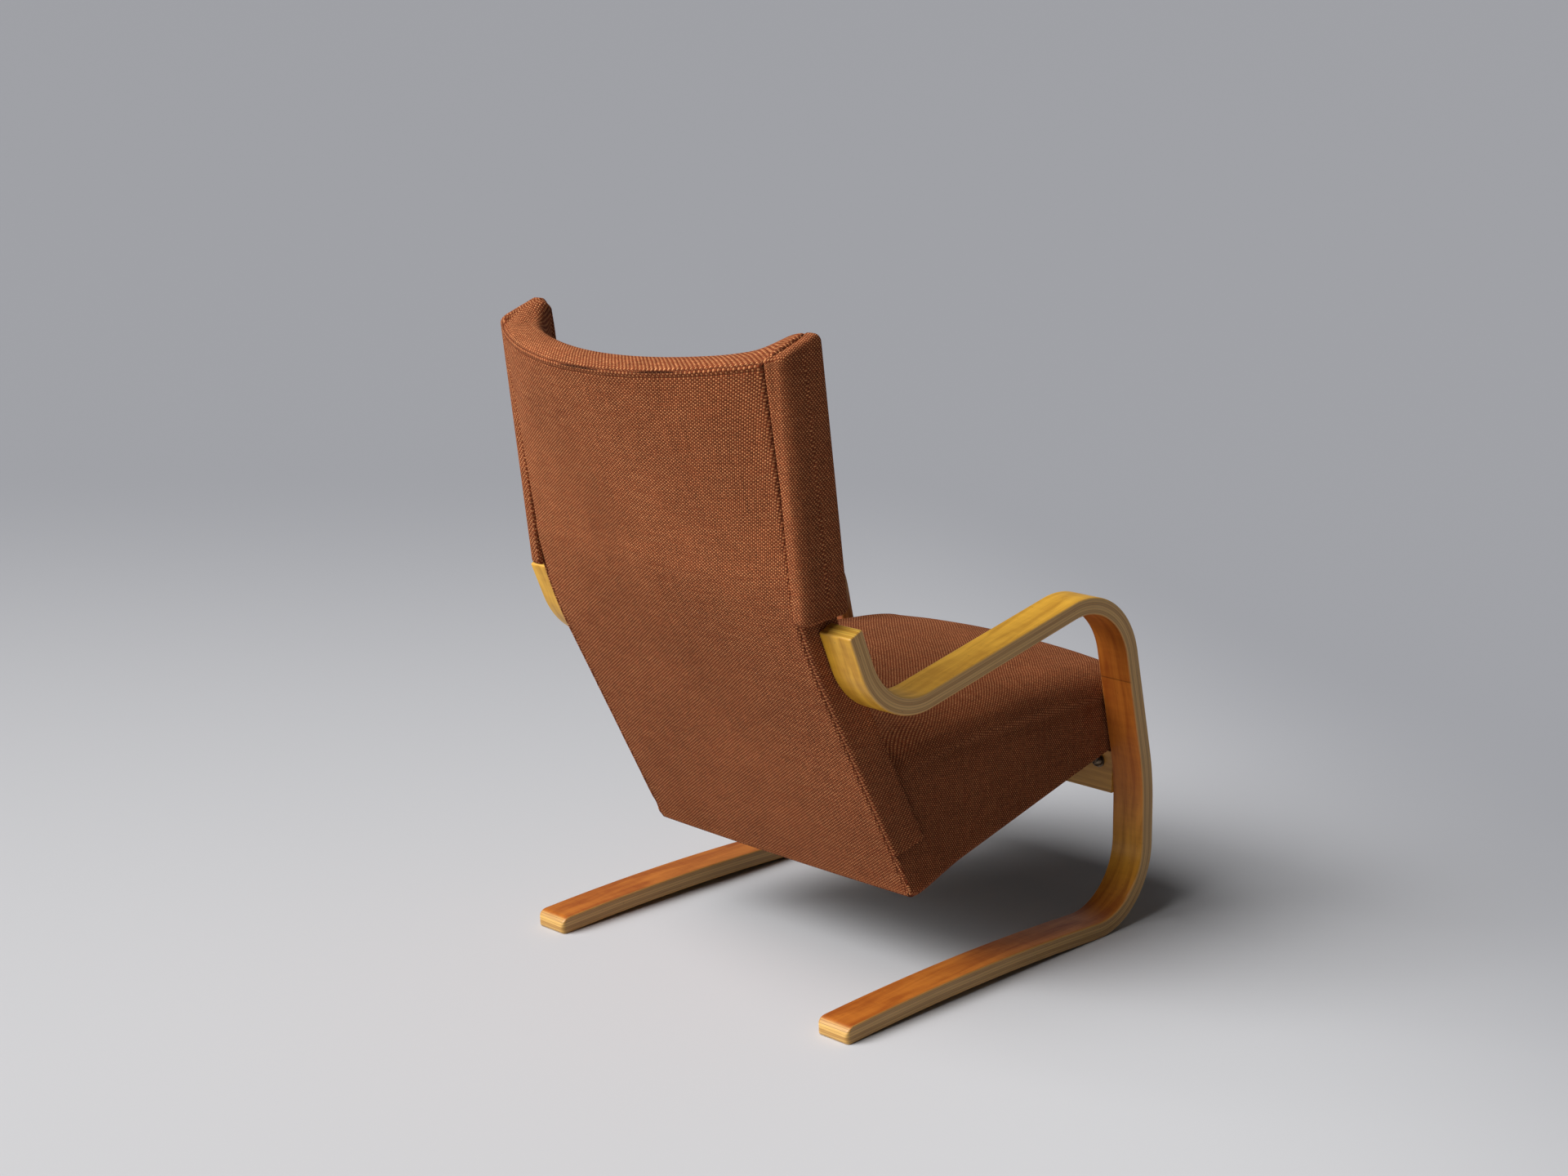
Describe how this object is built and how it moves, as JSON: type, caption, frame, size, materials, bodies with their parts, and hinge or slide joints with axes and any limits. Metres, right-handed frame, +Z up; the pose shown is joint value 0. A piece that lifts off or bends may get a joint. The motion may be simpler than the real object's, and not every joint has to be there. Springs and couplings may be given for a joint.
{
  "type": "high back armchair",
  "caption": "Upholstered high back armchair with side wings on cantilevered bent laminated birch side frames that form the runners, uprights and arms.",
  "frame": {"origin": "on the floor, under the middle of the overall box", "axes": "+X to the sitter's left, +Y to the rear, +Z up; the sitter faces -Y"},
  "size_m": [0.604, 0.8576, 0.9023],
  "materials": {
    "birch_laminate": "satin lacquer",
    "frame_timber": "sawn",
    "dark_steel": "blackened",
    "wool_weave": "coarse two-tone weave",
    "jute_webbing": "woven",
    "dust_cloth": "plain cloth"
  },
  "bodies": {
    "root": {"arm_bolt_washers": "dark_steel", "arm_bolts": "dark_steel", "back_bottom_rail": "frame_timber", "back_middle_rail": "frame_timber", "back_stile_left": "frame_timber", "back_stile_right": "frame_timber", "back_top_rail": "frame_timber", "back_webbing": "jute_webbing", "cross_rail": "birch_laminate", "frame_dowels": "frame_timber", "head_panel": "frame_timber", "inside_back_pad": "wool_weave", "outside_back_panel": "wool_weave", "rail_dowels": "frame_timber", "seat_apron": "wool_weave", "seat_bolt_nuts": "dark_steel", "seat_bolt_washers": "dark_steel", "seat_bolts": "dark_steel", "seat_corner_blocks": "frame_timber", "seat_cushion": "wool_weave", "seat_front_rail": "frame_timber", "seat_side_panel_left": "wool_weave", "seat_side_panel_right": "wool_weave", "seat_side_rail_left": "frame_timber", "seat_side_rail_right": "frame_timber", "seat_webbing": "jute_webbing", "side_border_left": "wool_weave", "side_border_right": "wool_weave", "side_frame_left": "birch_laminate", "side_frame_right": "birch_laminate", "top_border": "wool_weave", "underside_cloth": "dust_cloth", "wing_board_left": "frame_timber", "wing_board_right": "frame_timber", "wing_cover_left": "wool_weave", "wing_cover_right": "wool_weave", "wing_screws": "dark_steel"}
  },
  "joints": []
}
